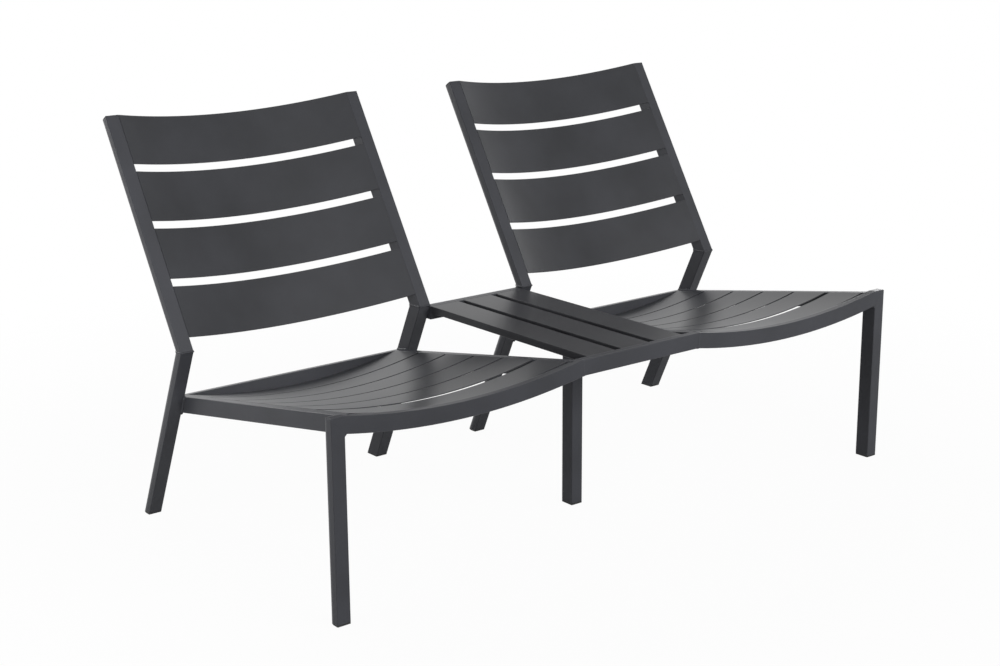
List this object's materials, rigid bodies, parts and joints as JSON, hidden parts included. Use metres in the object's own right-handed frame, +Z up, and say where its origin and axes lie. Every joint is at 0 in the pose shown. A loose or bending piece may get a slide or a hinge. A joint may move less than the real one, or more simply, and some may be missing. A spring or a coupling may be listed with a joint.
{
  "type": "double chaise lounger",
  "caption": "Garden lounger for two: low reclined slatted metal chairs side by side, joined by a level slatted table, on a fixed welded frame.",
  "frame": {"origin": "on the floor, under the middle of the bounding box", "axes": "+X to the sitter's left along the pair (right in a view from the front), +Y to the back, +Z up"},
  "size_m": [1.532, 0.8798, 0.8647],
  "materials": {
    "frame": "satin powder coat, anthracite",
    "slats": "satin powder coat, anthracite",
    "table": "satin powder coat, anthracite",
    "glides": "matt black"
  },
  "bodies": {
    "root": {"front_rail_middle": "frame", "front_rail_left": "frame", "front_leg_left": "frame", "seat_rear_rail_left": "frame", "rear_leg_left_outer": "frame", "back_post_left_outer": "frame", "post_cap_left_outer": "frame", "seat_side_rail_left_outer": "frame", "rear_leg_left_inner": "frame", "back_post_left_inner": "frame", "post_cap_left_inner": "frame", "seat_side_rail_left_inner": "frame", "front_rail_right": "frame", "front_leg_right": "frame", "seat_rear_rail_right": "frame", "rear_leg_right_outer": "frame", "back_post_right_outer": "frame", "post_cap_right_outer": "frame", "seat_side_rail_right_outer": "frame", "rear_leg_right_inner": "frame", "back_post_right_inner": "frame", "post_cap_right_inner": "frame", "seat_side_rail_right_inner": "frame", "table_rear_rail": "frame", "table_cross_bar": "frame", "middle_leg": "frame", "back_slat_left_1": "slats", "back_slat_left_2": "slats", "back_slat_left_3": "slats", "back_slat_left_4": "slats", "seat_slat_left_1": "slats", "seat_slat_left_2": "slats", "seat_slat_left_3": "slats", "seat_slat_left_4": "slats", "seat_slat_left_5": "slats", "seat_slat_left_6": "slats", "back_slat_right_1": "slats", "back_slat_right_2": "slats", "back_slat_right_3": "slats", "back_slat_right_4": "slats", "seat_slat_right_1": "slats", "seat_slat_right_2": "slats", "seat_slat_right_3": "slats", "seat_slat_right_4": "slats", "seat_slat_right_5": "slats", "seat_slat_right_6": "slats", "table_slat_1": "table", "table_slat_2": "table", "table_slat_3": "table", "glide_front_left": "glides", "glide_rear_left_outer": "glides", "glide_rear_left_inner": "glides", "glide_front_right": "glides", "glide_rear_right_outer": "glides", "glide_rear_right_inner": "glides", "glide_middle": "glides"}
  },
  "joints": []
}
